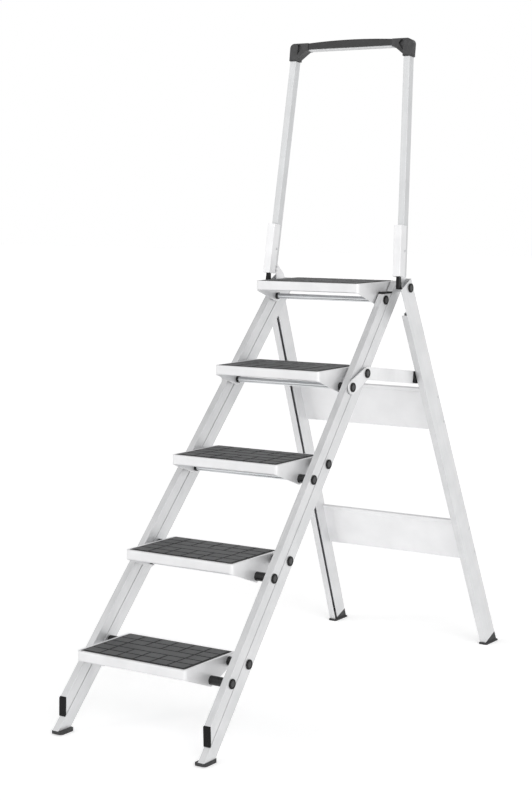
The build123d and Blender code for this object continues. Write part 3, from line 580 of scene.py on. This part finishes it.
for number in TREADS:
    low, high = [Vector(corner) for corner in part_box(f"tread_{number}_mat")]
    bed = Vector(((low.x + high.x) / 2, (low.y + high.y) / 2, low.z))
    top = bed + Vector((0, 0, MAT_SHEET_MM * MM))
    shape = bmesh.new()
    shape.from_mesh(field)
    under = [v for v in shape.verts if abs(v.co.x) < reach.x and abs(v.co.y) < reach.y]
    bmesh.ops.delete(shape, geom=under, context="VERTS")
    bmesh.ops.translate(shape, verts=shape.verts, vec=top)
    # The sheet and the walls of the plain block take the painted shade.
    slab(shape, Vector((mat.x, mat.y, MAT_SHEET_MM * MM)), bed, MAT_CORNER_MM * MM, bevel, painted_shade_slot, painted_shade_slot)
    slab(shape, plain, top, 2 * bevel, bevel, painted_shade_slot, pale)
    bmesh.ops.recalc_face_normals(shape, faces=shape.faces)
    mesh = bpy.data.meshes.new(f"block_mat_{number}")
    shape.to_mesh(mesh)
    shape.free()
    for rubber in rubbers:
        mesh.materials.append(rubber)
    stand_for(f"block_mat_{number}", mesh, f"tread_{number}", f"tread_{number}_mat")


# Rear leg frame
# Two slotted aluminium channels on rubber shoes, joined by two folded sheets that are riveted to them.
# The legs are extruded as the stiles are, and the panels are plain blasted sheet.
LEG_SLOPE_DEG = 112.5
PANEL_ROUGH = 0.42
RIVET_ROUGH = 0.34
PANEL_SHADES = ("#f0f0f1", "#f7f7f8", "#fafafb")
RIVET_SHADES = ("#c4c5c6", "#d8d9da", "#e6e7e8")

finish(extruded_aluminium("satin_extruded_leg_aluminium", LEG_SLOPE_DEG), *pair("back_leg"))
finish(foot_rubber, *pair("back_foot"))
plain_sheet = blasted_sheet("blasted_sheet_aluminium", PANEL_SHADES, BROKEN_EDGE_MM, PANEL_ROUGH)
finish(plain_sheet, "upper_back_panel", "lower_back_panel")
set_rivet = bright_metal("set_rivet_aluminium", RIVET_SHADES, RIVET_ROUGH)
finish(set_rivet, "back_panel_rivets")


# Spreader links
# Joggled bars, blasted as the trays are, with a drawn pin and a black rubbing pad at the leg's slot.
# Each bar is held on both axles of one tread.
finish(tray_sheet, *pair("spreader_link"))
finish(drawn_rod, "spreader_pins")
finish(black_nylon, "spreader_slider_pads")


# Hand rail
# Extruded tubes in bent channel shoes, hinged on sheet brackets. Grained nylon corners, with a sunk web
# between post and arm on both faces, hold the bar that carries the soft grip.
RAIL_SLOPE_DEG = 82.35
RAIL_SHADES = ("#c7c8c9", "#d5d6d7", "#f0f0f1")
RAIL_EDGE_MM = 2.0
CORNER_POST_MM = 25.0
# The web's outline: away from the post and below the top.
CORNER_WEB_MM = ((1, 4), (9, 4), (16, 14), (1, 34))
CORNER_SINK_MM = 6.0
CORNER_SHARP_DEG = 30.0
GRIP_SHADES = ("#232324", "#2d2d2e", "#3a3a3b")
GRIP_ROUGH = 0.52
GRIP_GRAIN_DEPTH_MM = 0.05

rail_aluminium = extruded_aluminium("satin_extruded_rail_aluminium", RAIL_SLOPE_DEG, RAIL_SHADES,
                                    RAIL_EDGE_MM)
finish(rail_aluminium, *pair("handrail_tube"), "handrail_core")
finish(black_nylon, "handrail_pegs")
finish(tray_sheet, *pair("handrail_channel"), *pair("handrail_bracket"))
finish(set_rivet, "handrail_rivets")
finish(moulded("soft_grip_rubber", GRIP_SHADES, GRIP_ROUGH, GRIP_GRAIN_DEPTH_MM), "handrail_grip")

rail_lean = math.radians(RAIL_SLOPE_DEG)
rising = Vector((0, math.cos(rail_lean), math.sin(rail_lean)))
facing = Vector((0, -math.sin(rail_lean), math.cos(rail_lean)))


def web_cutter(outline, depths):
    """A prism over an outline of points, between two depths along the direction that the rail faces."""
    shape = bmesh.new()
    near, far = [[shape.verts.new(spot + facing * depth) for spot in outline] for depth in depths]
    shape.faces.new(near)
    shape.faces.new(far)
    for i in range(len(outline)):
        shape.faces.new((near[i - 1], near[i], far[i], far[i - 1]))
    bmesh.ops.recalc_face_normals(shape, faces=shape.faces)
    mesh = bpy.data.meshes.new("corner_web_cutter")
    shape.to_mesh(mesh)
    shape.free()
    return place("corner_web_cutter", mesh)


def sunk_corner(name, node):
    """A copy of a CAD corner with its web sunk between post and arm, on the front and the back."""
    spots = [v.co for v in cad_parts[node].data.vertices]
    top = max(spot.dot(rising) for spot in spots)
    depths = [spot.dot(facing) for spot in spots]
    outer = max((spot.x for spot in spots), key=abs)
    side = math.copysign(1.0, outer)
    outline = [Vector((outer - side * (CORNER_POST_MM + away) * MM, 0, 0)) + rising * (top - drop * MM)
               for away, drop in CORNER_WEB_MM]
    sink = CORNER_SINK_MM * MM
    shape = bmesh.new()
    shape.from_mesh(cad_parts[node].data)
    bmesh.ops.remove_doubles(shape, verts=shape.verts, dist=WELD_MM * MM)
    solid = bpy.data.meshes.new(name)
    shape.to_mesh(solid)
    shape.free()
    blank = place(name + "_blank", solid)
    cutters = [web_cutter(outline, (depth - sink, depth + sink)) for depth in (min(depths), max(depths))]
    for cutter in cutters:
        cut = blank.modifiers.new("sunk_web", "BOOLEAN")
        cut.operation = "DIFFERENCE"
        cut.object = cutter
    bpy.context.view_layer.update()
    ready = blank.evaluated_get(bpy.context.evaluated_depsgraph_get())
    mesh = bpy.data.meshes.new_from_object(ready)
    for spent in (blank, *cutters):
        bpy.data.objects.remove(spent)
    mesh.shade_smooth()
    mesh.set_sharp_from_angle(angle=math.radians(CORNER_SHARP_DEG))
    mesh.materials.append(grained_nylon)
    return mesh


for piece, node in zip(pair("corner_moulding"), pair("handrail_corner")):
    stand_for(piece, sunk_corner(piece, node), "handrail", node)
